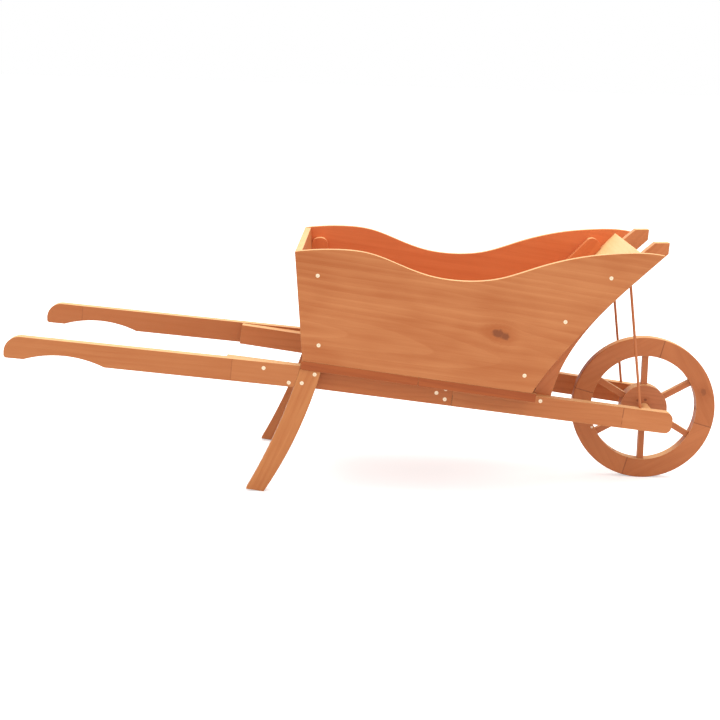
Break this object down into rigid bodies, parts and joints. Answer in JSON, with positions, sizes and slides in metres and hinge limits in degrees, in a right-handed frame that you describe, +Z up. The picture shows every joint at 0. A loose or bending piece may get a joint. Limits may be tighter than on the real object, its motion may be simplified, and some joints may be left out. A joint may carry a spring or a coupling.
{
  "type": "wheelbarrow",
  "caption": "Small wooden wheelbarrow with two long handles, a swept shallow tray on splayed rails, curved legs and a single spoked wooden wheel.",
  "frame": {"origin": "on the ground, under the middle of the barrow's length and width", "axes": "+X forward from the grips to the wheel, +Y to the pusher's left, +Z up"},
  "size_m": [1.1532, 0.335, 0.4084],
  "materials": {
    "frame_wood": "satin stained softwood",
    "tray_wood": "satin stained softwood",
    "wheel_wood": "satin stained softwood",
    "steel": "bright zinc"
  },
  "bodies": {
    "frame": {"axle": "steel", "axle_spacer_left": "frame_wood", "axle_spacer_right": "frame_wood", "floor_board_front": "tray_wood", "floor_board_rear": "tray_wood", "frame_screws": "steel", "front_board_lower": "tray_wood", "front_board_middle": "tray_wood", "front_board_upper": "tray_wood", "front_cleat_left": "tray_wood", "front_cleat_right": "tray_wood", "front_post_left": "frame_wood", "front_post_right": "frame_wood", "handle_left": "frame_wood", "handle_right": "frame_wood", "leg_left": "frame_wood", "leg_right": "frame_wood", "rail_front_left": "frame_wood", "rail_front_right": "frame_wood", "rail_rear_left": "frame_wood", "rail_rear_right": "frame_wood", "rail_wedge_left": "frame_wood", "rail_wedge_right": "frame_wood", "rear_cleat_left": "tray_wood", "rear_cleat_right": "tray_wood", "rear_panel": "tray_wood", "side_panel_left": "tray_wood", "side_panel_right": "tray_wood", "splice_plate_left": "frame_wood", "splice_plate_right": "frame_wood", "strut_left": "frame_wood", "strut_right": "frame_wood", "tray_screws": "steel"},
    "wheel": {"felloe_1": "wheel_wood", "felloe_2": "wheel_wood", "felloe_3": "wheel_wood", "felloe_4": "wheel_wood", "felloe_dowels": "wheel_wood", "hub": "wheel_wood", "rim_nail": "steel", "spoke_1": "wheel_wood", "spoke_2": "wheel_wood", "spoke_3": "wheel_wood", "spoke_4": "wheel_wood", "spoke_5": "wheel_wood", "spoke_6": "wheel_wood"}
  },
  "joints": [
    {"name": "wheel_spin", "type": "hinge", "parent": "frame", "child": "wheel", "pos_m": [0.4574, 0, 0.1192], "axis": [0, 1, 0], "continuous": true}
  ]
}
